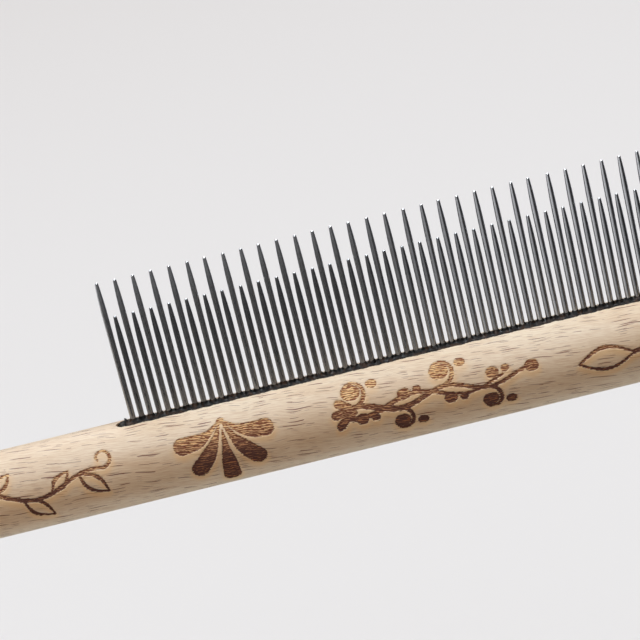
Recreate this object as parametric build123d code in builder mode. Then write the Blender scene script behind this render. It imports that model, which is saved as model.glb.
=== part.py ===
from build123d import *
import os
from math import atan, cos, sin, sqrt

# Dematting comb: a turned beech dowel with one milled slot along its top, and in the slot
# a drilled metal spine that carries a single row of ground steel pins, long and short in
# turn, bedded in black epoxy. Millimetres. X runs along the handle from the grip towards
# the pins, Z points up the pins, and the origin is on the handle's axis at mid-grip.

# Wooden handle
handle_radius = 10.0
grip_length = 88.0        # plain wood from the butt end to the slot
nose_length = 14.0        # plain wood left past the slot
end_rounding = 5.0        # turned on both ends

# Slot milled along the top of the handle
slot_width = 3.0
slot_depth = 10.0         # below the handle's crest

# Row of pins, which starts and ends with a long one
pin_count = 65
pin_pitch = 2.11
pin_radius = 0.67
end_margin = 4.3          # from a slot tip to the nearest pin's axis
long_reach = 35.3         # tips of the long pins above the handle's crest
short_reach = 26.5
taper_length = 8.3        # curved run from the shaft down to the tip
tip_radius = 0.39

# Metal spine, which stands on the slot's floor
spine_side_gap = 0.2      # epoxy between the spine and each wall of the slot
spine_cover = 2.5         # handle's crest above the spine's top
spine_overhang = 1.4      # metal past the first and last hole

# Epoxy, which fills the slot and stands a little proud of it
bead_rise = 0.4           # crest of the bead above the slot's lips
bead_end_gap = 1.6        # from a slot tip to the raised bead
bead_end_drop = 2.0       # level of the epoxy in those ends below the lips
collar_height = 0.45      # epoxy drawn up round each pin
collar_gap = 0.03         # from a collar to the middle between two pins
collar_edge = 0.08        # thickness of a collar at its top

# Short pins are stored in groups of this many, to keep the number of files down
short_pins_per_group = 2

# Places that follow from the sizes above
row_length = (pin_count - 1) * pin_pitch
slot_length = row_length + 2 * end_margin
handle_length = grip_length + slot_length + nose_length
butt_x = -grip_length / 2
slot_start_x = grip_length / 2
slot_middle_x = slot_start_x + slot_length / 2
floor_z = handle_radius - slot_depth
lip_z = sqrt(handle_radius**2 - (slot_width / 2) ** 2)
crest_z = lip_z + bead_rise
spine_width = slot_width - 2 * spine_side_gap
spine_length = row_length + 2 * spine_overhang
spine_height = slot_depth - spine_cover

slot_floor = Plane((slot_middle_x, 0, floor_z))
bead_section = Plane.YZ.offset(slot_middle_x)
pin_spots = [Location((slot_start_x + end_margin + step * pin_pitch, 0, 0)) for step in range(pin_count)]
long_spots = pin_spots[0::2]
short_spots = pin_spots[1::2]


def save(piece, name):
    piece.label = name
    export_step(piece, f"parts/{name}.step")


os.makedirs("parts", exist_ok=True)

# Handle: a straight dowel with rounded ends and one slot with round milled ends
with BuildPart() as handle:
    with BuildSketch(Plane.YZ.offset(butt_x)):
        Circle(handle_radius)
    extrude(amount=handle_length)
    fillet(handle.edges().filter_by(GeomType.CIRCLE), end_rounding)
    with BuildSketch(slot_floor):
        SlotOverall(slot_length, slot_width)
    extrude(amount=slot_depth, mode=Mode.SUBTRACT)
save(handle.part, "handle")

# Spine: a flat bar drilled right through for every pin
with BuildPart() as spine:
    with BuildSketch(slot_floor):
        Rectangle(spine_length, spine_width)
        with GridLocations(pin_pitch, pin_pitch, pin_count, 1):
            Circle(pin_radius, mode=Mode.SUBTRACT)
    extrude(amount=spine_height)
save(spine.part, "spine")

# Epoxy: fills the slot round the spine, crowned between the lips, with a collar round each pin
with BuildPart() as epoxy_bed:
    with BuildSketch(slot_floor):
        SlotOverall(slot_length, slot_width)
    extrude(amount=lip_z - bead_end_drop - floor_z)
    with BuildSketch(bead_section):
        with BuildLine():
            Polyline(
                (-slot_width / 2, lip_z),
                (-slot_width / 2, floor_z),
                (slot_width / 2, floor_z),
                (slot_width / 2, lip_z),
            )
            ThreePointArc((slot_width / 2, lip_z), (0, crest_z), (-slot_width / 2, lip_z))
        make_face()
    extrude(amount=slot_length / 2 - bead_end_gap, both=True)
    with Locations(slot_floor.offset(lip_z - floor_z)):
        with GridLocations(pin_pitch, pin_pitch, pin_count, 1):
            Cone(
                bottom_radius=pin_pitch / 2 - collar_gap,
                top_radius=pin_radius + collar_edge,
                height=crest_z + collar_height - lip_z,
                align=(Align.CENTER, Align.CENTER, Align.MIN),
            )
    with BuildSketch(slot_floor):
        Rectangle(spine_length, spine_width)
    extrude(amount=spine_height, mode=Mode.SUBTRACT)
    with BuildSketch(slot_floor):
        with GridLocations(pin_pitch, pin_pitch, pin_count, 1):
            Circle(pin_radius)
    extrude(amount=crest_z + collar_height - floor_z, mode=Mode.SUBTRACT)
save(epoxy_bed.part, "epoxy_bed")


# Pin: straight shaft from the slot's floor, a taper tangent to it, and a rounded tip
def pin_blank(reach):
    tip_z = handle_radius + reach
    taper_lean = 2 * atan((pin_radius - tip_radius) / taper_length)
    dome_radius = tip_radius / cos(taper_lean)
    dome_z = tip_z - dome_radius * (1 - sin(taper_lean))
    shaft_z = dome_z - taper_length
    with BuildPart() as pin:
        with BuildSketch(Plane.XZ):
            with BuildLine():
                Polyline((0, tip_z), (0, floor_z), (pin_radius, floor_z), (pin_radius, shaft_z))
                taper = TangentArc((pin_radius, shaft_z), (tip_radius, dome_z), tangent=(0, 1))
                TangentArc((tip_radius, dome_z), (0, tip_z), tangent=taper % 1)
            make_face()
        revolve(axis=Axis.Z)
    return pin.part


long_blank = pin_blank(long_reach)
short_blank = pin_blank(short_reach)

for number, spot in enumerate(long_spots, start=1):
    with BuildPart() as long_pin:
        with Locations(spot):
            add(long_blank)
    save(long_pin.part, f"long_pin_{number:02d}")

for number, first in enumerate(range(0, len(short_spots), short_pins_per_group), start=1):
    with BuildPart() as short_pins:
        with Locations(*short_spots[first : first + short_pins_per_group]):
            add(short_blank)
    save(short_pins.part, f"short_pins_{number:02d}")
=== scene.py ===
import math
import random

import bpy
import numpy as np
from mathutils import Matrix, Vector, noise


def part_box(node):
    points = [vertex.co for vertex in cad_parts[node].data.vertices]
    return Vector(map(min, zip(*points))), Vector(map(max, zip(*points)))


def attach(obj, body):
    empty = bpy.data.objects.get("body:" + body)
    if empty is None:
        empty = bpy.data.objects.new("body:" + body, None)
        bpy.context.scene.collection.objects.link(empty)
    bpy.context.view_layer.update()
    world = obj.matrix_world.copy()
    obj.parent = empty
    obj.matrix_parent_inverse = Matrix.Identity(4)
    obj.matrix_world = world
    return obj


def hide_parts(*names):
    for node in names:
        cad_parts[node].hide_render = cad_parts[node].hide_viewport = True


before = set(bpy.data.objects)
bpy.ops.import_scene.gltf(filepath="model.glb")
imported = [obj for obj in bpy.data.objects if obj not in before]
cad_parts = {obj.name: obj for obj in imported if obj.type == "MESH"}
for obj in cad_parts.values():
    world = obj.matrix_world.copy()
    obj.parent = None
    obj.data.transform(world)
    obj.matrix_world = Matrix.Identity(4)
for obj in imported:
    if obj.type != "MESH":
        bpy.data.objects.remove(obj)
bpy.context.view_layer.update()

# Dematting comb: a turned beech dowel with laser-burnt ornament, and a row of steel pins in black epoxy.
# X runs along the dowel from the grip to the pins, Z points up the pins, and -Y is the ornamented side.

mm = 0.001
random.seed(7)

handleLow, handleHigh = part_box("handle")
epoxyLow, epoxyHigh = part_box("epoxy_bed")
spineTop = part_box("spine")[1].z
longNodes = sorted(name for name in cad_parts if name.startswith("long_pin_"))
shortNodes = sorted(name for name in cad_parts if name.startswith("short_pins_"))
dowelRadius = (handleHigh.z - handleLow.z) / 2
slotHalf = (epoxyHigh.y - epoxyLow.y) / 2
lipHeight = math.sqrt(dowelRadius**2 - slotHalf**2)


def midX(node):
    low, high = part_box(node)
    return (low.x + high.x) / 2


firstPinX = midX(longNodes[0])
lastPinX = midX(longNodes[-1])
pinCount = len(longNodes) * 2 - 1
pinPitch = (lastPinX - firstPinX) / (pinCount - 1)
pinRadius = (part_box(longNodes[0])[1].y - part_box(longNodes[0])[0].y) / 2


def deselectAll():
    if bpy.context.object and bpy.context.object.mode != "OBJECT":
        bpy.ops.object.mode_set(mode="OBJECT")
    bpy.ops.object.select_all(action="DESELECT")


def editMode(on=True):
    bpy.ops.object.mode_set(mode="EDIT" if on else "OBJECT")


def named(name):
    piece = bpy.context.object
    piece.name = name
    piece.data.name = name
    return piece


def pickEdges(piece, wanted):
    # selects the edges that wanted(end, other end) names, in edit mode
    bpy.ops.mesh.select_mode(type="EDGE")
    bpy.ops.mesh.select_all(action="DESELECT")
    editMode(False)
    corners = piece.data.vertices
    for edge in piece.data.edges:
        edge.select = bool(wanted(corners[edge.vertices[0]].co, corners[edge.vertices[1]].co))
    editMode()


def points(piece):
    found = np.zeros(len(piece.data.vertices) * 3)
    piece.data.vertices.foreach_get("co", found)
    return found.reshape(-1, 3)


def putPoints(piece, places):
    piece.data.vertices.foreach_set("co", np.asarray(places, float).ravel())
    piece.data.update()


def putValues(piece, name, values):
    layer = piece.data.attributes.new(name, "FLOAT", "POINT")
    layer.data.foreach_set("value", np.asarray(values, np.float32))


def smooth(piece, angle=35):
    deselectAll()
    piece.select_set(True)
    bpy.context.view_layer.objects.active = piece
    bpy.ops.object.shade_smooth_by_angle(angle=math.radians(angle))


def applied(piece, kind, **settings):
    # adds a modifier, sets it and applies it
    step = piece.modifiers.new(kind.title(), kind)
    for key, value in settings.items():
        setattr(step, key, value)
    deselectAll()
    piece.select_set(True)
    bpy.context.view_layer.objects.active = piece
    bpy.ops.object.modifier_apply(modifier=step.name)


def easeBetween(low, high, value):
    t = np.clip((value - low) / (high - low), 0, 1)
    return t * t * (3 - 2 * t)


def srgb(code):
    channels = [int(code[i : i + 2], 16) / 255 for i in (0, 2, 4)]
    linear = [c / 12.92 if c <= 0.04045 else ((c + 0.055) / 1.055) ** 2.4 for c in channels]
    return (*linear, 1.0)


def newMaterial(name):
    material = bpy.data.materials.new(name)
    material.use_nodes = True
    return material, material.node_tree, material.node_tree.nodes["Principled BSDF"]


def add(tree, kind, settings=None, **links):
    # adds a node: settings are its own properties, and links are values, outputs or nodes for its inputs.
    # i3 stands for the input numbered 3, and a node stands for its first output
    node = tree.nodes.new("ShaderNode" + kind)
    for key, value in (settings or {}).items():
        setattr(node, key, value)
    for key, value in links.items():
        socket = node.inputs[int(key[1:])] if key[0] == "i" and key[1:].isdigit() else node.inputs[key]
        if isinstance(value, bpy.types.Node):
            value = value.outputs[0]
        if isinstance(value, bpy.types.NodeSocket):
            tree.links.new(value, socket)
        else:
            socket.default_value = value
    return node


# settings that many nodes share
times = {"operation": "MULTIPLY"}
timesPlus = {"operation": "MULTIPLY_ADD"}
plus = {"operation": "ADD"}
minus = {"operation": "SUBTRACT"}
lengthOf = {"operation": "LENGTH"}
eased = {"interpolation_type": "SMOOTHSTEP"}
inColour = {"data_type": "RGBA"}


def turnedBeech(grain):
    # Steamed European beech, turned to a dowel, sanded fine and left almost raw: a pale cream ground with
    # soft growth bands, the rays as short dark dashes along the grain, and a dry satin surface.
    # Laser burning chars it: streaked along the grain, golden near the crest and dark brown further round,
    # with a painted highlight on the palest golden streaks.
    material, tree, shader = newMaterial("turnedBeech")

    # grain coordinates in mm: along the dowel, round it, sloping a little as spiral grain does, and outwards
    texture = add(tree, "TexCoord")
    place = add(tree, "VectorMath", {"operation": "SCALE"}, i0=texture.outputs["Object"], i3=1 / mm)
    along, across, up = add(tree, "SeparateXYZ", i0=place).outputs
    spoke = add(tree, "CombineXYZ", i0=across, i1=up)
    outwards = add(tree, "VectorMath", lengthOf, i0=spoke).outputs["Value"]
    forwards = add(tree, "Math", times, i0=across, i1=-1.0)
    angle = add(tree, "Math", {"operation": "ARCTAN2"}, i0=forwards, i1=up)
    waver = add(tree, "TexNoise", {"noise_dimensions": "3D"}, i0=place, i2=0.12, i3=1.0)
    wandered = add(tree, "Math", times, i0=waver, i1=grain["waver"])
    around = add(tree, "Math", timesPlus, i0=angle, i1=dowelRadius / mm, i2=wandered)
    around = add(tree, "Math", timesPlus, i0=along, i1=-math.tan(math.radians(grain["slope"])), i2=around)
    inGrain = add(tree, "CombineXYZ", i0=along, i1=around, i2=outwards)

    def streaks(length, width, detail=2.0, distortion=0.0):
        # noise drawn out along the grain to about this length and width in mm
        stretched = add(tree, "VectorMath", times, i0=inGrain, i1=(1 / length, 1 / width, 0.2))
        return add(tree, "TexNoise", Vector=stretched, Scale=1.0, Detail=detail, Distortion=distortion)

    def rays(length, spacing, halfLength, halfWidth, keep):
        # each Voronoi cell holds one dash of its own length, and a share of the cells is left empty
        shrunk = add(tree, "VectorMath", {"operation": "DIVIDE"}, i0=inGrain, i1=(length, spacing, 9.0))
        cells = add(tree, "TexVoronoi", {"feature": "F1"}, Vector=shrunk, Scale=1.0)
        lottery = add(tree, "SeparateColor", i0=cells.outputs["Color"]).outputs
        offset = add(tree, "VectorMath", minus, i0=shrunk, i1=cells.outputs["Position"])
        offset = add(tree, "VectorMath", times, i0=offset, i1=(length / halfLength, spacing / halfWidth, 0))
        reach = add(tree, "VectorMath", lengthOf, i0=offset).outputs["Value"]
        ownLength = add(tree, "MapRange", eased, i0=lottery[1], i1=0.0, i2=1.0, i3=1.9, i4=0.8)
        reach = add(tree, "Math", times, i0=reach, i1=ownLength)
        dash = add(tree, "MapRange", eased, i0=reach, i1=1.0, i2=0.75)
        drawn = add(tree, "MapRange", eased, i0=lottery[0], i1=1 - keep, i2=1 - keep * 0.6)
        return add(tree, "Math", times, i0=dash, i1=drawn)

    fibres = streaks(5.0, 0.20, 3.0)
    fineFibres = streaks(2.2, 0.11, 1.0)
    bands = streaks(60.0, 3.2, 2.0)
    patches = streaks(26.0, 9.0, 1.0)
    share = add(tree, "MapRange", eased, i0=patches, i1=0.35, i2=0.68)
    wood = add(tree, "Mix", inColour, i0=share, i6=srgb(grain["pale"]), i7=srgb(grain["tan"])).outputs[2]
    for pattern, low, high, most, tint in (
        (bands, 0.45, 0.68, grain["bandShare"], "band"),
        (fibres, 0.42, 0.68, grain["fibreShare"], "fibre"),
        (fineFibres, 0.45, 0.7, grain["fineShare"], "fibre"),
    ):
        share = add(tree, "MapRange", eased, i0=pattern, i1=low, i2=high, i4=most)
        wood = add(tree, "Mix", inColour, i0=share, i6=wood, i7=srgb(grain[tint])).outputs[2]
    longDashes = rays(*grain["longDash"])
    shortDashes = add(tree, "Math", times, i0=rays(*grain["shortDash"]), i1=0.75)
    dashes = add(tree, "Math", {"operation": "MAXIMUM"}, i0=longDashes, i1=shortDashes)
    share = add(tree, "Math", times, i0=dashes, i1=0.95)
    wood = add(tree, "Mix", inColour, i0=share, i6=wood, i7=srgb(grain["ray"])).outputs[2]

    # end grain: arcs of the growth rings, browner than the wall
    heartAcross, heartUp = grain["heart"]
    fromHeartAcross = add(tree, "Math", plus, i0=across, i1=heartAcross)
    fromHeartUp = add(tree, "Math", plus, i0=up, i1=heartUp)
    fromHeart = add(tree, "CombineXYZ", i0=fromHeartAcross, i1=fromHeartUp)
    ringPlace = add(tree, "VectorMath", lengthOf, i0=fromHeart).outputs["Value"]
    ringPlace = add(tree, "Math", timesPlus, i0=waver, i1=1.2, i2=ringPlace)
    ringPlace = add(tree, "CombineXYZ", i0=ringPlace)
    rings = add(
        tree, "TexWave", {"wave_profile": "SAW"}, Vector=ringPlace, Scale=math.tau / 20 / grain["ring"]
    ).outputs[1]
    share = add(tree, "Math", times, i0=rings, i1=0.55)
    endWood = add(tree, "Mix", inColour, i0=share, i6=srgb(grain["tan"]), i7=srgb(grain["fibre"])).outputs[2]
    facing = add(tree, "SeparateXYZ", i0=texture.outputs["Normal"])
    facing = add(tree, "Math", {"operation": "ABSOLUTE"}, i0=facing)
    atEnd = add(tree, "MapRange", eased, i0=facing, i1=0.62, i2=0.9)
    wood = add(tree, "Mix", inColour, i0=atEnd, i6=wood, i7=endWood).outputs[2]

    # the burnt ornament: cut is the distance from its outline in mm, negative inside
    cut = add(tree, "Attribute", {"attribute_name": "cut"}).outputs["Fac"]
    # char rises from nothing to full further round from the crest, so the burn turns from golden to dark
    # brown towards the lower side
    char = add(tree, "Attribute", {"attribute_name": "char"}).outputs["Fac"]
    halo = add(tree, "Attribute", {"attribute_name": "halo"}).outputs["Fac"]
    drawnOut = add(tree, "VectorMath", times, i0=inGrain, i1=(0.3, 1, 0.2))
    stripes = add(
        tree, "TexWave", {"bands_direction": "Y"}, Vector=drawnOut, Scale=math.tau / 20 / grain["stripe"],
        Distortion=9.0, Detail=2.0, **{"Detail Scale": 2.2, "Detail Roughness": 0.6},
    ).outputs[1]
    wavy = add(tree, "Math", times, i0=streaks(2.3, 0.25, 2.0, 0.2), i1=0.64)
    wavy = add(tree, "Math", timesPlus, i0=stripes, i1=0.36, i2=wavy)
    ragged = add(tree, "Math", minus, i0=streaks(1.2, 0.22, 1.0), i1=0.5)
    ragged = add(tree, "Math", timesPlus, i0=ragged, i1=0.85, i2=cut)
    burnt = add(tree, "MapRange", eased, i0=ragged, i1=0.05, i2=-0.06)
    rim = add(tree, "MapRange", eased, i0=cut, i1=-0.55, i2=-0.12, i4=0.07)  # burnt a little deeper
    level = add(tree, "Math", timesPlus, i0=char, i1=-0.15, i2=0.51)
    dark = add(tree, "Math", plus, i0=wavy, i1=rim)
    dark = add(tree, "Math", minus, i0=dark, i1=level)
    dark = add(tree, "MapRange", eased, i0=dark, i1=-0.05, i2=0.05)
    # painted highlight: the palest streaks between the burnt stripes take a paler colour, as if tiny ridges
    # caught the light; further round it gives way to brown
    share = add(tree, "MapRange", eased, i0=wavy, i1=0.46, i2=0.36)
    light = add(tree, "Mix", inColour, i0=share, i6=srgb(grain["scorch"]), i7=srgb(grain["paintedRidgeHighlight"])).outputs[2]
    light = add(tree, "Mix", inColour, i0=char, i6=light, i7=srgb(grain["brown"])).outputs[2]
    deep = add(tree, "Mix", inColour, i0=char, i6=srgb(grain["burn"]), i7=srgb(grain["char"])).outputs[2]
    marked = add(tree, "Mix", inColour, i0=dark, i6=light, i7=deep).outputs[2]
    share = add(tree, "Math", times, i0=halo, i1=0.7)
    scorched = add(tree, "Mix", inColour, i0=share, i6=wood, i7=srgb(grain["halo"])).outputs[2]
    colour = add(tree, "Mix", inColour, i0=burnt, i6=scorched, i7=marked).outputs[2]
    tree.links.new(colour, shader.inputs["Base Color"])
    rough = add(tree, "Math", timesPlus, i0=burnt, i1=0.2, i2=0.6)
    tree.links.new(rough.outputs[0], shader.inputs["Roughness"])
    shader.inputs["Specular IOR Level"].default_value = 0.5
    shader.inputs["IOR"].default_value = 1.48

    # the surface: open pores at the rays, fibres raised by sanding, and furrows left by the laser
    relief = add(tree, "Math", times, i0=dashes, i1=-0.25)
    relief = add(tree, "Math", timesPlus, i0=fibres, i1=0.5, i2=relief)
    offEnd = add(tree, "Math", minus, i0=1.0, i1=atEnd)
    relief = add(tree, "Math", times, i0=relief, i1=offEnd)
    furrows = add(tree, "Math", times, i0=dark, i1=burnt)
    relief = add(tree, "Math", timesPlus, i0=furrows, i1=-grain["furrow"], i2=relief)
    bump = add(tree, "Bump", Strength=0.8, Distance=0.05 * mm, Height=relief)
    tree.links.new(bump.outputs[0], shader.inputs["Normal"])
    return material


def groundSteel(name, pale, dull):
    # Spring-steel wire, ground to a taper and tumbled: dark bright-work with fine lines along the pin,
    # which smear what it reflects into soft bands. The lines are 0.11 mm wide and 3 mm long, and the
    # blotches 2 by 6 mm.
    material, tree, shader = newMaterial(name)
    place = add(tree, "TexCoord").outputs["Object"]
    lines = add(
        tree, "TexNoise", Scale=1.0, Detail=2.0,
        Vector=add(tree, "VectorMath", {"operation": "MULTIPLY"}, i0=place, i1=(9000, 9000, 350)).outputs[0],
    ).outputs[0]
    blotches = add(
        tree, "TexNoise", Scale=1.0, Detail=2.0,
        Vector=add(tree, "VectorMath", {"operation": "MULTIPLY"}, i0=place, i1=(450, 450, 160)).outputs[0],
    ).outputs[0]
    tone = add(tree, "Mix", {"data_type": "RGBA"}, i0=blotches, i6=srgb(pale), i7=srgb(dull)).outputs[2]
    tree.links.new(tone, shader.inputs["Base Color"])
    shader.inputs["Metallic"].default_value = 1.0
    rough = add(tree, "MapRange", Value=lines, **{"To Min": 0.22, "To Max": 0.34}).outputs[0]
    tree.links.new(rough, shader.inputs["Roughness"])
    bump = add(tree, "Bump", Height=lines, Strength=0.5, Distance=0.006 * mm)
    tree.links.new(bump.outputs[0], shader.inputs["Normal"])
    return material


def castEpoxy():
    # Black two-part epoxy, poured round the pins and scraped off: near black with brown smears, lumpy,
    # and dulled by dust, so it shines only in small points.
    material, tree, shader = newMaterial("castEpoxy")
    place = add(tree, "TexCoord").outputs["Object"]

    def lumps(size, detail):
        scaled = add(tree, "VectorMath", {"operation": "SCALE"}, i0=place, i3=1 / (size * mm)).outputs[0]
        return add(tree, "TexNoise", Vector=scaled, Scale=1.0, Detail=detail).outputs[0]

    coarse = lumps(0.8, 3.0)
    smear = add(tree, "MapRange", i0=lumps(1.3, 2.0), i1=0.48, i2=0.66).outputs[0]
    tone = add(tree, "Mix", {"data_type": "RGBA"}, i0=smear, i6=srgb("0E0B09"), i7=srgb("3A2A1E")).outputs[2]
    tree.links.new(tone, shader.inputs["Base Color"])
    rough = add(tree, "MapRange", i0=coarse, i1=0.35, i2=0.65, i3=0.28, i4=0.65).outputs[0]
    tree.links.new(rough, shader.inputs["Roughness"])
    shader.inputs["IOR"].default_value = 1.52
    shader.inputs["Specular IOR Level"].default_value = 0.09
    bump = add(tree, "Bump", Height=coarse, Strength=1.0, Distance=0.25 * mm)
    tree.links.new(bump.outputs[0], shader.inputs["Normal"])
    return material


beech = turnedBeech({
    "slope": 7.5,        # degrees off the dowel's line
    "waver": 1.7,        # mm that the grain wanders
    "stripe": 0.53,      # mm from one burnt stripe to the next
    "ring": 2.3,         # mm from one growth ring to the next
    "heart": (19.0, 31.0),  # mm from the dowel's axis to the middle of the rings
    "longDash": (7.2, 1.0, 2.9, 0.115, 0.46),  # mm: cell length and width, half length and width; share kept
    "shortDash": (3.4, 0.7, 1.4, 0.08, 0.36),
    "bandShare": 0.28, "fibreShare": 0.46, "fineShare": 0.34,  # how strongly each one tints the ground
    "furrow": 1.8,       # depth of the laser's furrows, in units of the fibres' relief
    "pale": "EBE0C8", "tan": "E4D4B8", "band": "D5B892", "fibre": "BF9E76", "ray": "6B2A06",
    # the ridge colour is a painted highlight on the palest faintly burnt streaks
    "halo": "EACB98", "scorch": "D69F58", "paintedRidgeHighlight": "F4D49C",
    "brown": "B87540", "burn": "87491F", "char": "582B15",
})
longSteel = groundSteel("groundSteel", "C3C4C6", "AFB0B2")
# a darker copy of the same steel for the short pins: painted shade, for their standing low among the long
# pins
shadedShortSteel = groundSteel("shadedGroundSteel", "A9AAAC", "9A9B9D")
epoxy = castEpoxy()
print("materials made")

# The ornament, laid out flat. Flat places are (along, round) in mm: along the dowel from the first pin, and
# round it from the crest towards the ornamented side. Everything is a stroke with a width. The motifs are
# stock ones: a palmette, a running scroll with buds, and leafy stems.

strokes = []  # rows of: along, round, along, round, half width, half width

ornament = {
    "line": 12.9,             # mm round from the crest to the line that the motifs follow
    "pen": 0.46,              # half the width of a stem
    "palmetteRoot": (19.6, 7.0),
    "petals": 5,
    "petalTurn": 34,          # degrees from one petal to the next
    "petalLength": 16.0,      # the middle one, and each next one is shorter
    "petalHalf": 2.1,
    "scrollEnds": (45.5, 91.5),
    "curls": 4,
    "curlRadius": 3.7,
    "budRadius": 1.9,
    "tendrilEnds": (-59, -9),
    "tendrilLeaves": 7,
    "leafLength": 8.2,
    "sprigStart": 103,
    "sprigLeaf": 13,
}


def stroke(path, *halves):
    # a line whose half width runs through the given values, evenly spaced along it
    half = np.interp(np.linspace(0, 1, len(path)), np.linspace(0, 1, len(halves)), halves)
    for a, b, ra, rb in zip(path, path[1:], half, half[1:]):
        strokes.append((*a, *b, ra, rb))


def bud(along, around, radius):
    # a round spot, drawn out a little along the grain
    strokes.append((along - 0.2 * radius, around, along + 0.2 * radius, around, radius, radius))


def bowed(root, tip, bow):
    # a run from root to tip that swells to one side by a share of its length
    root, tip = np.array(root, float), np.array(tip, float)
    share = np.linspace(0, 1, 12)[:, None]
    aside = np.array([root[1] - tip[1], tip[0] - root[0]])
    return root + share * (tip - root) + bow * np.sin(math.pi * share) * aside


def curled(centre, radii, degrees):
    # a turn about a centre whose radius changes evenly
    angle = np.radians(np.linspace(*degrees, 30))
    radius = np.linspace(*radii, 30)
    return np.stack([centre[0] + radius * np.cos(angle), centre[1] + radius * np.sin(angle)], 1)


def waved(ends, height, length, phase=0.0):
    # a stem that waves about the ornament's line
    along = np.linspace(*ends, 60)
    around = ornament["line"] + height * np.sin(math.tau * (along - ends[0]) / length + phase)
    return np.stack([along, around], 1)


def towards(root, degrees, length):
    turn = math.radians(degrees)
    return root[0] + length * math.cos(turn), root[1] + length * math.sin(turn)


def outlineLeaf(root, degrees, length):
    # two pen lines that meet at the leaf's point
    for side in (-1, 1):
        pen = ornament["pen"]
        stroke(bowed(root, towards(root, degrees, length), 0.2 * side), 0.6 * pen, 1.1 * pen, 0.5 * pen)


def drawPalmette():
    middle = (ornament["petals"] - 1) / 2
    for place in range(ornament["petals"]):
        aside = middle - place
        degrees = 90 + ornament["petalTurn"] * aside
        root = towards(ornament["palmetteRoot"], degrees, 2.4 if aside == 0 else 0.8)
        reach = ornament["petalLength"] - 1.7 * abs(aside)
        tip = towards(ornament["palmetteRoot"], degrees, reach - ornament["petalHalf"])
        wide = ornament["petalHalf"]
        stroke(bowed(root, tip, -0.06 * aside), 0.25, 0.4 * wide, 0.85 * wide, wide)
    bud(*ornament["palmetteRoot"], 0.8)


def drawScroll():
    first, last = ornament["scrollEnds"]
    gap = (last - first) / (ornament["curls"] + 0.4)
    stem = waved((first, last), -1.3, 2 * gap)
    stroke(stem, 0.5, 0.75, 0.55, ornament["pen"], 0.4)
    stroke(waved((first + 4, last - 0.6 * gap), 1.5, 2.4 * gap, 1.0), 0.7, ornament["pen"], 0.3)
    for place in range(ornament["curls"]):
        side = -1 if place % 2 == 0 else 1
        start = first + gap * (place + 0.45)
        reach = ornament["curlRadius"] * (1 if side < 0 else 0.86)
        leaves = np.interp(start, stem[:, 0], stem[:, 1])
        centre = (start, leaves + side * reach)
        stroke(curled(centre, (reach, 0.45 * reach), (-90 * side, 170 * side)), 0.5, ornament["pen"], 0.3)
        bud(*centre, ornament["budRadius"] * reach / ornament["curlRadius"])
        bud(start + 1.5, leaves - side * 3.0, 1.3)
        bud(start + 4.6, leaves - side * 3.4, 0.85)
        bud(*towards(centre, 12 * side, reach + 1.6), 1.1)
    for degrees in (150, 185, 220):
        root = (first + 5, ornament["line"])
        stroke(bowed(root, towards(root, degrees, 4.6), 0.08), 0.4, 0.95, 1.1)
    bud(last + 0.8, stem[-1, 1], 1.4)


def drawTendril():
    first, last = ornament["tendrilEnds"]
    stem = waved((first, last), 2.0, 27)
    stroke(stem, 0.25, 0.5, 0.55, 0.5, 0.4)
    for place in range(ornament["tendrilLeaves"]):
        root = stem[4 + 8 * place]
        side = -1 if place % 2 else 1
        outlineLeaf(root, side * 42, ornament["leafLength"] * (1 if side > 0 else 0.75))
    turn = (last, stem[-1, 1] - 2.4)
    stroke(curled(turn, (2.4, 1.0), (90, -210)), 0.4, 0.35, 0.25)


def drawSprig():
    root = (ornament["sprigStart"], ornament["line"] + 1.4)
    outlineLeaf(root, 0, ornament["sprigLeaf"])
    node = towards(root, 0, ornament["sprigLeaf"])
    stroke(bowed(node, towards(node, -3, 18), -0.03), 0.6, 0.4, 0.3)
    for degrees in (-32, 30):
        outlineLeaf(towards(node, 0, 4), degrees, ornament["leafLength"])
    bud(*towards(node, -3, 19), 1.2)


drawPalmette()
drawScroll()
drawTendril()
drawSprig()
print("ornament laid out,", len(strokes), "strokes")


def distanceTo(flat):
    # signed distance in mm from each flat place to the ornament's edge, negative inside
    best = np.full(len(flat), 9.0)
    for a0, a1, b0, b1, ra, rb in strokes:
        reach = max(ra, rb) + 3
        near = np.nonzero(
            (flat[:, 0] > min(a0, b0) - reach) & (flat[:, 0] < max(a0, b0) + reach)
            & (flat[:, 1] > min(a1, b1) - reach) & (flat[:, 1] < max(a1, b1) + reach)
        )[0]
        p = flat[near]
        run = np.array([b0 - a0, b1 - a1])
        t = np.clip((p - (a0, a1)) @ run / max(run @ run, 1e-9), 0, 1)
        gap = np.linalg.norm(p - (a0, a1) - t[:, None] * run, axis=1) - (ra + (rb - ra) * t)
        best[near] = np.minimum(best[near], gap)
    return best


def unrolled(places):
    # flat places of points on the dowel
    around = np.arctan2(-places[:, 1], places[:, 2]) * dowelRadius
    return np.stack([places[:, 0] - firstPinX, around], 1) / mm


dowel = {
    "sides": 96,
    "endRounding": 5 * mm,
    "lengthCuts": (100, 1),   # 202 rings along the dowel
    "fineCuts": 4,            # each face near the ornament is cut in 25
    "fineReach": 0.8,         # mm from the ornament's edge
    "engraving": 0.16 * mm,
}


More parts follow.
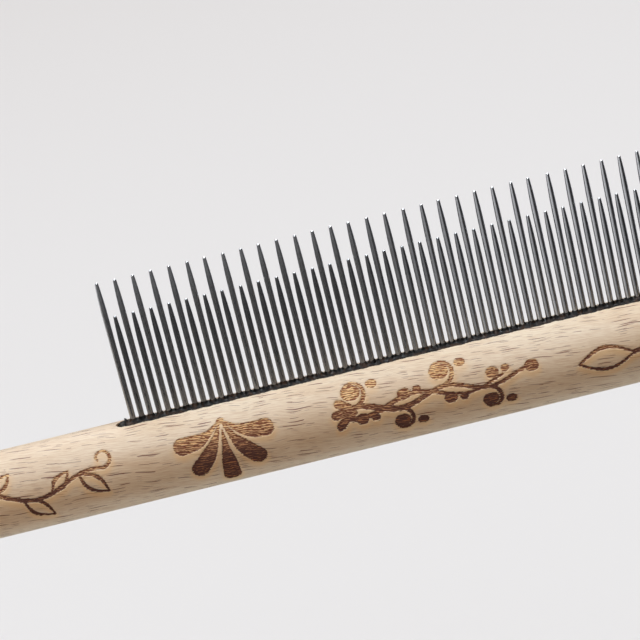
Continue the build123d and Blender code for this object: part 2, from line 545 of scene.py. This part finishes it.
def makeHandle():
    deselectAll()
    length = handleHigh.x - handleLow.x
    bpy.ops.mesh.primitive_cylinder_add(
        vertices=dowel["sides"], radius=dowelRadius, depth=length, end_fill_type="NGON",
        location=((handleLow.x + handleHigh.x) / 2, 0, 0), rotation=(0, math.pi / 2, 0),
    )
    bpy.ops.object.transform_apply(location=True, rotation=True, scale=True)
    handle = named("turned_handle")
    editMode()
    pickEdges(handle, lambda a, b: abs(a.x - b.x) < 1e-6)
    bpy.ops.mesh.bevel(offset=dowel["endRounding"], segments=9, profile=0.5, affect="EDGES")
    for cuts in dowel["lengthCuts"]:
        pickEdges(
            handle, lambda a, b: abs(a.x - b.x) > 1.5 * mm and abs(a.y - b.y) + abs(a.z - b.z) < 1e-6
        )
        bpy.ops.mesh.subdivide(number_cuts=cuts)
    editMode(False)

    # the slot, cut by a bar with round ends
    deselectAll()
    slotLength = epoxyHigh.x - epoxyLow.x
    bpy.ops.mesh.primitive_cube_add(
        size=1, location=((epoxyLow.x + epoxyHigh.x) / 2, 0, epoxyLow.z + dowelRadius)
    )
    bpy.context.object.scale = (slotLength, 2 * slotHalf, 2 * dowelRadius)
    bpy.ops.object.transform_apply(location=True, rotation=True, scale=True)
    cutter = named("slotCutter")
    editMode()
    pickEdges(cutter, lambda a, b: abs(a.z - b.z) > dowelRadius)
    bpy.ops.mesh.bevel(offset=slotHalf * 0.999, segments=8, profile=0.5, affect="EDGES")
    editMode(False)
    applied(handle, "BOOLEAN", operation="DIFFERENCE", solver="EXACT", object=cutter)
    bpy.data.objects.remove(cutter)

    # finer faces where the ornament will be burnt
    centres = np.zeros(len(handle.data.polygons) * 3)
    handle.data.polygons.foreach_get("center", centres)
    centres = centres.reshape(-1, 3)
    onWall = np.hypot(centres[:, 1], centres[:, 2]) > dowelRadius * 0.99
    near = (distanceTo(unrolled(centres)) < dowel["fineReach"]) & onWall
    editMode()
    bpy.ops.mesh.select_mode(type="FACE")
    bpy.ops.mesh.select_all(action="DESELECT")
    editMode(False)
    handle.data.polygons.foreach_set("select", near)
    editMode()
    bpy.ops.mesh.subdivide(number_cuts=dowel["fineCuts"], quadcorner="INNERVERT")
    editMode(False)

    # true round wall, and the burnt recess
    places = points(handle)
    flat = unrolled(places)
    radius = np.hypot(places[:, 1], places[:, 2])
    wall = np.abs(radius - dowelRadius) < 0.03 * mm
    gap = distanceTo(flat)
    gap[~wall] = 9
    depth = dowel["engraving"] * easeBetween(0.12, -0.18, gap)
    target = np.where(wall, dowelRadius - depth, radius)
    scale = target / np.maximum(radius, 1e-9)
    places[:, 1] *= scale
    places[:, 2] *= scale
    putPoints(handle, places)
    below = distanceTo(flat - (0, 1.0))
    below[~wall] = 9
    putValues(handle, "cut", np.clip(gap, -3, 3))
    putValues(handle, "halo", easeBetween(1.1, -0.3, below) * easeBetween(3, 11, flat[:, 1]))
    # the burn darkens further round from the crest, towards the lower side of the dowel
    putValues(handle, "char", easeBetween(7.5, 16.5, flat[:, 1]))
    handle.data.materials.clear()
    handle.data.materials.append(beech)
    smooth(handle, 40)
    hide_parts("handle")
    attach(handle, "root")
    print("handle made,", len(handle.data.polygons), "faces")


makeHandle()

pin = {
    "sides": 28,
    "taper": 8.7 * mm,          # length of the taper, the rounded tip included
    "tipRadius": 0.39 * mm,
    "taperSteps": 9,
    "domeSteps": 5,
    "lean": 0.16,               # degrees, standard deviation of how far a pin stands off square
}


def pinBlank(name, base, tip):
    # a lathe profile drawn ring by ring, from the seat up to the rounded tip
    rings = [(base, pinRadius), (tip - pin["taper"], pinRadius)]
    neck = tip - pin["tipRadius"]
    for step in range(1, pin["taperSteps"] + 1):
        t = step / pin["taperSteps"]
        rings.append((
            tip - pin["taper"] + t * (pin["taper"] - pin["tipRadius"]),
            pinRadius - (pinRadius - pin["tipRadius"]) * t**2,
        ))
    for step in range(1, pin["domeSteps"]):
        angle = step / pin["domeSteps"] * math.pi / 2
        rings.append((neck + pin["tipRadius"] * math.sin(angle), pin["tipRadius"] * math.cos(angle)))
    deselectAll()
    bpy.ops.mesh.primitive_circle_add(
        vertices=pin["sides"], radius=pinRadius, fill_type="NGON", location=(0, 0, base)
    )
    bpy.ops.object.transform_apply(location=True, rotation=True, scale=True)
    blank = named(name)
    editMode()
    bpy.ops.mesh.select_all(action="SELECT")
    height, wide = rings[0]
    for nextHeight, nextWide in rings[1:]:
        bpy.ops.mesh.extrude_region_move(TRANSFORM_OT_translate={"value": (0, 0, nextHeight - height)})
        share = nextWide / wide
        bpy.ops.transform.resize(value=(share, share, 1), center_override=(0, 0, nextHeight))
        height, wide = nextHeight, nextWide
    bpy.ops.mesh.poke(offset=tip - height)
    bpy.ops.mesh.select_all(action="SELECT")
    bpy.ops.mesh.normals_make_consistent(inside=False)
    editMode(False)
    smooth(blank, 50)
    return blank


def placedPin(blank, place):
    # a copy of the blank's mesh at its place in the row, a hair off square
    mesh = blank.data.copy()
    tilt = Matrix.Rotation(math.radians(random.gauss(0, pin["lean"])), 4, "X")
    tilt = tilt @ Matrix.Rotation(math.radians(random.gauss(0, pin["lean"])), 4, "Y")
    spin = Matrix.Rotation(random.uniform(0, math.tau), 4, "Z")
    root = Matrix.Translation((0, 0, lipHeight))
    mesh.transform(Matrix.Translation((place, 0, 0)) @ root @ tilt @ root.inverted() @ spin)
    return mesh


def makePins():
    seat, longTip = (corner.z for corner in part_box(longNodes[0]))
    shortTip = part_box(shortNodes[0])[1].z
    longBlank = pinBlank("longBlank", seat, longTip)
    shortBlank = pinBlank("shortBlank", seat, shortTip)
    for node in longNodes:
        mesh = placedPin(longBlank, midX(node))
        piece = bpy.data.objects.new(node.replace("long_pin", "steel_long_pin"), mesh)
        finishPin(piece, node, "long_pin_steel")
    for node in shortNodes:
        pair = []
        for side in (-1, 1):
            other = bpy.data.objects.new("half", placedPin(shortBlank, midX(node) + side * pinPitch))
            bpy.context.scene.collection.objects.link(other)
            pair.append(other)
        deselectAll()
        for other in pair:
            other.select_set(True)
        bpy.context.view_layer.objects.active = pair[0]
        bpy.ops.object.join()
        piece = named(node.replace("short_pins", "steel_short_pins"))
        finishPin(piece, node, "short_pin_steel")
    bpy.data.objects.remove(longBlank)
    bpy.data.objects.remove(shortBlank)
    print("pins made:", len(longNodes), "long,", 2 * len(shortNodes), "short")


def finishPin(piece, node, slot):
    if piece.name not in bpy.context.scene.objects:
        bpy.context.scene.collection.objects.link(piece)
    piece.data.materials.clear()
    # the short pins take the darker copy of the steel, which is painted shade
    piece.data.materials.append(longSteel if slot == "long_pin_steel" else shadedShortSteel)
    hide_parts(node)
    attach(piece, "root")


makePins()

bead = {
    "step": 0.13 * mm,
    "across": 18,
    "rise": 0.30 * mm,          # crest over the wood
    "collar": 0.78 * mm,        # drawn up round each pin
    "collarFade": 0.25 * mm,
    "lumps": 0.34 * mm,
    "spill": 0.42 * mm,         # most that it runs over the slot's lip
    "bareEnd": 0.1 * mm,        # slot left open at each end
    "endDrop": 0.4 * mm,        # how far its ends lie under the lips
}


def makeBead():
    deselectAll()
    length = epoxyHigh.x - epoxyLow.x
    bpy.ops.mesh.primitive_grid_add(
        x_subdivisions=int(length / bead["step"]), y_subdivisions=bead["across"], size=1,
        location=((epoxyLow.x + epoxyHigh.x) / 2, 0, 0),
    )
    bpy.context.object.scale = (length - 0.04 * mm, 2, 1)
    bpy.ops.object.transform_apply(location=True, rotation=True, scale=True)
    piece = named("epoxy_bead")
    places = points(piece)
    x, share = places[:, 0], places[:, 1]  # share runs from -1 to 1 across the bead
    fromEnd = np.minimum(x - epoxyLow.x, epoxyHigh.x - x)
    waves = np.array([
        [noise.noise(Vector((v / (1.6 * mm), side * 7.3, 0))) for v in x] for side in (-1, 1)
    ])
    nicks = np.array([
        [noise.noise(Vector((v / (0.5 * mm), side * 3.1, 4))) for v in x] for side in (-1, 1)
    ])
    edges = waves + 0.5 * nicks
    ragged = np.clip(0.5 + 0.7 * np.where(share < 0, edges[0], edges[1]), 0, 1)
    inSlot = np.sqrt(np.clip(slotHalf**2 - np.maximum(slotHalf - fromEnd, 0) ** 2, 0, None)) * 0.995
    full = easeBetween(bead["bareEnd"], bead["bareEnd"] + 1.2 * mm, fromEnd)
    half = inSlot + full * bead["spill"] * ragged
    y = share * half
    wood = np.sqrt(dowelRadius**2 - np.clip(np.abs(y), slotHalf, None) ** 2)
    lumps = np.array([noise.noise(Vector((v / (0.8 * mm), s * 1.6, 9))) for v, s in zip(x, share)])
    crown = (bead["rise"] + bead["lumps"] * lumps) * np.sqrt(np.clip(1 - share**2, 0, 1))
    offRow = np.mod(x - firstPinX + pinPitch / 2, pinPitch) - pinPitch / 2
    fromPin = np.maximum(np.hypot(offRow, y) - pinRadius, 0)
    inRow = (x > firstPinX - pinPitch) & (x < lastPinX + pinPitch)
    collar = bead["collar"] * np.exp(-fromPin / bead["collarFade"]) * inRow
    z = wood + full * (crown + collar) - (1 - full) * bead["endDrop"] - 0.02 * mm
    putPoints(piece, np.stack([x, y, z], 1))
    editMode()
    bpy.ops.mesh.select_mode(type="EDGE")
    bpy.ops.mesh.select_all(action="SELECT")
    bpy.ops.mesh.region_to_loop()
    bpy.ops.mesh.extrude_region_move(TRANSFORM_OT_translate={"value": (0, 0, -mm)})
    editMode(False)
    chosen = np.zeros(len(piece.data.vertices), bool)
    piece.data.vertices.foreach_get("select", chosen)
    places = points(piece)
    wide = chosen & (np.abs(places[:, 1]) > slotHalf * 0.98)
    places[wide, 1] = np.sign(places[wide, 1]) * slotHalf * 0.98
    places[chosen, 2] = spineTop
    putPoints(piece, places)
    editMode()
    bpy.ops.mesh.edge_face_add()
    bpy.ops.mesh.select_all(action="SELECT")
    bpy.ops.mesh.normals_make_consistent(inside=False)
    editMode(False)
    piece.data.materials.clear()
    piece.data.materials.append(epoxy)
    smooth(piece, 60)
    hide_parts("epoxy_bed")
    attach(piece, "root")
    print("epoxy made,", len(piece.data.polygons), "faces")


makeBead()

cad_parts["spine"].data.materials.clear()
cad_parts["spine"].data.materials.append(longSteel)

view = {
    "eye": Vector((firstPinX + 49.56 * mm, -626.5 * mm, 276.7 * mm)),
    "right": Vector((0.97143, -0.0862, -0.22117)),
    "up": Vector((0.23735, 0.36469, 0.90038)),
    "lens": 165.15,  # mm
}


def makeCamera():
    data = bpy.data.cameras.new("camera")
    data.lens = view["lens"]
    data.sensor_width = 36
    camera = bpy.data.objects.new("camera", data)
    back = view["right"].cross(view["up"])
    camera.matrix_world = Matrix((
        (view["right"].x, view["up"].x, back.x, view["eye"].x),
        (view["right"].y, view["up"].y, back.y, view["eye"].y),
        (view["right"].z, view["up"].z, back.z, view["eye"].z),
        (0, 0, 0, 1),
    ))
    bpy.context.scene.collection.objects.link(camera)
    bpy.context.scene.camera = camera


studio = {
    "floorDrop": 115 * mm,           # the comb is held over the floor, not laid on it
    "floorSize": 9.0,
    "floorColour": "DDDDDB",
    "boxPlace": (0.18, -0.11, 1.0),   # lights the comb from above, a little in front
    "boxSize": (1.1, 0.30),
    "boxPower": 8.4,
    "boxColour": (0.92, 1.0, 1.10),  # daylight
    "ceilingPlace": (0.1, -2.1, 1.8),  # lights only the floor, so that it is evenly pale all round
    "ceilingSize": (9.0, 8.0),
    "ceilingPower": 268.0,
    "ceilingColour": (0.86, 1.0, 1.14),
    "fill": "FFCFA4",                # warm light from the room, below and in front
    "fillStrength": 0.38,
    "mirror": "5A5C60",              # what polished steel sees of the room
    "rimPlace": (0.22, 0.70, 0.80),  # behind: a pale sheen along the crest, and no more
    "rimSize": (1.0, 0.6),
    "rimPower": 18.0,
    "rimColour": (0.95, 1.0, 1.04),
    "sparkPlace": (-0.05, -0.45, 0.8),
    "sparkSize": (0.34, 0.34),
    "sparkPower": 8.0,
    "sparkColour": (1, 1, 1),
    "cardDrop": 60 * mm,
    "cardSize": (1.9, 1.2),
    "cardBack": -67 * mm,            # its back edge, short of the comb's axis
    "cardShine": (1.1, 0.02),        # what the far pins mirror of it, on the grip side and the nose side
    "cardShineSpan": (-0.08, 0.25),  # from where to where, along the dowel
    "cardFill": (0.30, 0.02),        # what it sends up to the dowel, on the same sides
    "cardFillSpan": (-0.05, 0.22),
    "flagHeights": (-0.07, 0.06),
    "flagShine": (0.072, 0.20),      # low down, and at the tips
    "tipHeights": (28 * mm, 42 * mm),
    "flagFade": (firstPinX + 48 * mm, firstPinX + 92 * mm),
    "flagWindow": (firstPinX + 5 * mm, firstPinX + 35 * mm),  # where it begins to thin at a slant
    "flagSlant": (0.66, 0.80),
    "sidePlace": (-0.32, -0.16, 0.0),  # a pale card beyond the grip
    "sideSize": (0.9, 0.5),
    "sideShine": 2.0,
    "steelLight": "F5F6F8",
    "backdrop": "E4E4E4",
}


def hiddenCard(name, centre, size, tip, swing=0.0):
    # a plane that the camera never sees and that casts no shadow
    deselectAll()
    bpy.ops.mesh.primitive_plane_add(size=1, location=centre, rotation=(tip, swing, 0))
    bpy.context.object.scale = (*size, 1)
    bpy.ops.object.transform_apply(location=True, rotation=True, scale=True)
    card = named(name)
    material, tree, shader = newMaterial(name)
    tree.nodes.remove(shader)
    card.data.materials.append(material)
    card.visible_camera = False
    card.visible_shadow = False
    return card, tree, add(tree, "SeparateXYZ", i0=add(tree, "TexCoord").outputs["Object"]).outputs


def makeCards():
    # a dark card low in front: it keeps the floor's light off the dowel's front, and the far pins mirror it,
    # pale on the grip side and dark on the nose side
    width, depth = studio["cardSize"]
    level = handleLow.z - studio["cardDrop"]
    centre = (0.1, studio["cardBack"] - depth / 2, level)
    tree, place = hiddenCard("darkCard", centre, (width, depth), 0)[1:]
    start, end = studio["cardShineSpan"]
    pale, dark = studio["cardShine"]
    mirrored = add(tree, "MapRange", i0=place[0], i1=start, i2=end, i3=pale, i4=dark)
    start, end = studio["cardFillSpan"]
    pale, dark = studio["cardFill"]
    upward = add(tree, "MapRange", i0=place[0], i1=start, i2=end, i3=pale, i4=dark)
    path = add(tree, "LightPath")
    bounced = add(tree, "Emission", Color=srgb(studio["fill"]), Strength=upward)
    shine = add(tree, "Emission", Color=srgb(studio["steelLight"]), Strength=mirrored)
    glossy = path.outputs["Is Glossy Ray"]
    mixed = add(tree, "MixShader", i0=glossy, i1=bounced.outputs[0], i2=shine.outputs[0])
    fromBelow = add(tree, "NewGeometry").outputs["Backfacing"]  # the floor sees through it
    clear = add(tree, "BsdfTransparent")
    mixed = add(tree, "MixShader", i0=fromBelow, i1=mixed.outputs[0], i2=clear.outputs[0])
    tree.links.new(mixed.outputs[0], tree.nodes["Material Output"].inputs["Surface"])

    # a dark flag close in front, seen only in reflections: whole before the grip-side pins, thinning to
    # nothing before the far ones, and paler at the height of the tips
    low, high = studio["flagHeights"]
    flag, tree, place = hiddenCard(
        "darkFlag", (firstPinX, -dowelRadius - 2 * mm, (low + high) / 2), (0.5, high - low), math.pi / 2
    )
    start, end = studio["tipHeights"]
    dark, pale = studio["flagShine"]
    tone = add(tree, "MapRange", eased, i0=place[2], i1=start, i2=end, i3=dark, i4=pale)
    start, end = studio["flagFade"]
    thin = add(tree, "MapRange", eased, i0=place[0], i1=start, i2=end)
    # it also thins at a slant, so that the far pins' grip-side flanks mirror the side card past it
    slant = add(tree, "LayerWeight", Blend=0.5).outputs["Facing"]
    start, end = studio["flagSlant"]
    slant = add(tree, "MapRange", i0=slant, i1=start, i2=end)
    start, end = studio["flagWindow"]
    beyond = add(tree, "MapRange", i0=place[0], i1=start, i2=end)
    window = add(tree, "Math", times, i0=slant, i1=beyond)
    thin = add(tree, "Math", {"operation": "MAXIMUM"}, i0=thin, i1=window)
    shade = add(tree, "Emission", Color=srgb(studio["steelLight"]), Strength=tone)
    clear = add(tree, "BsdfTransparent")
    mixed = add(tree, "MixShader", i0=thin, i1=shade.outputs[0], i2=clear.outputs[0])
    tree.links.new(mixed.outputs[0], tree.nodes["Material Output"].inputs["Surface"])
    flag.visible_diffuse = False
    flag.visible_transmission = False

    side, tree = hiddenCard("sideCard", studio["sidePlace"], studio["sideSize"], 0, math.pi / 2)[:2]
    glow = add(tree, "Emission", Color=srgb(studio["steelLight"]), Strength=studio["sideShine"])
    tree.links.new(glow.outputs[0], tree.nodes["Material Output"].inputs["Surface"])
    side.visible_diffuse = False


def softBox(name, key):
    # a rectangular light: the spark and the rim light point at the comb, the others straight down
    data = bpy.data.lights.new(name, "AREA")
    data.shape = "RECTANGLE"
    data.size, data.size_y = studio[key + "Size"]
    data.energy = studio[key + "Power"]
    data.color = studio[key + "Colour"]
    lamp = bpy.data.objects.new(name, data)
    place = studio[key + "Place"]
    lamp.location = place
    aim = (handleLow + handleHigh) / 2 if name in ("spark", "rim") else Vector((place[0], place[1], 0))
    lamp.rotation_euler = (aim - Vector(place)).to_track_quat("-Z", "Y").to_euler()
    bpy.context.scene.collection.objects.link(lamp)
    return lamp


def makeStudio():
    deselectAll()
    bpy.ops.mesh.primitive_plane_add(
        size=studio["floorSize"], location=(0, 0, handleLow.z - studio["floorDrop"])
    )
    floor = named("paleFloor")
    material, shader = newMaterial("palePaper")[::2]
    shader.inputs["Base Color"].default_value = srgb(studio["floorColour"])
    shader.inputs["Roughness"].default_value = 0.9
    floor.data.materials.append(material)
    floor.visible_glossy = False
    makeCards()

    overhead = softBox("overhead", "box")
    ceiling = softBox("ceiling", "ceiling")
    spark = softBox("spark", "spark")
    rim = softBox("rim", "rim")
    spark.visible_diffuse = False
    rim.visible_diffuse = False
    for lamp, state in ((overhead, "EXCLUDE"), (rim, "EXCLUDE"), (spark, "EXCLUDE"), (ceiling, "INCLUDE")):
        lit = bpy.data.collections.new(lamp.name + "Lit")
        lit.objects.link(floor)
        lit.collection_objects[0].light_linking.link_state = state
        lamp.light_linking.receiver_collection = lit

    world = bpy.data.worlds.new("studioWorld")
    bpy.context.scene.world = world
    world.use_nodes = True
    tree = world.node_tree
    shown = tree.nodes["Background"]
    shown.inputs["Color"].default_value = srgb(studio["backdrop"])
    shown.inputs["Strength"].default_value = 1.0
    room = add(tree, "Background", Color=srgb(studio["fill"]), Strength=studio["fillStrength"])
    mirror = add(tree, "Background", Color=srgb(studio["mirror"]), Strength=1.0)
    path = add(tree, "LightPath")
    mixed = add(tree, "MixShader", i0=path.outputs["Is Glossy Ray"], i1=room.outputs[0], i2=mirror.outputs[0])
    mixed = add(tree, "MixShader", i0=path.outputs["Is Camera Ray"], i1=mixed.outputs[0], i2=shown.outputs[0])
    tree.links.new(mixed.outputs[0], tree.nodes["World Output"].inputs["Surface"])
    bpy.context.scene.view_settings.view_transform = "Standard"


makeCamera()
makeStudio()
print("camera and studio made")
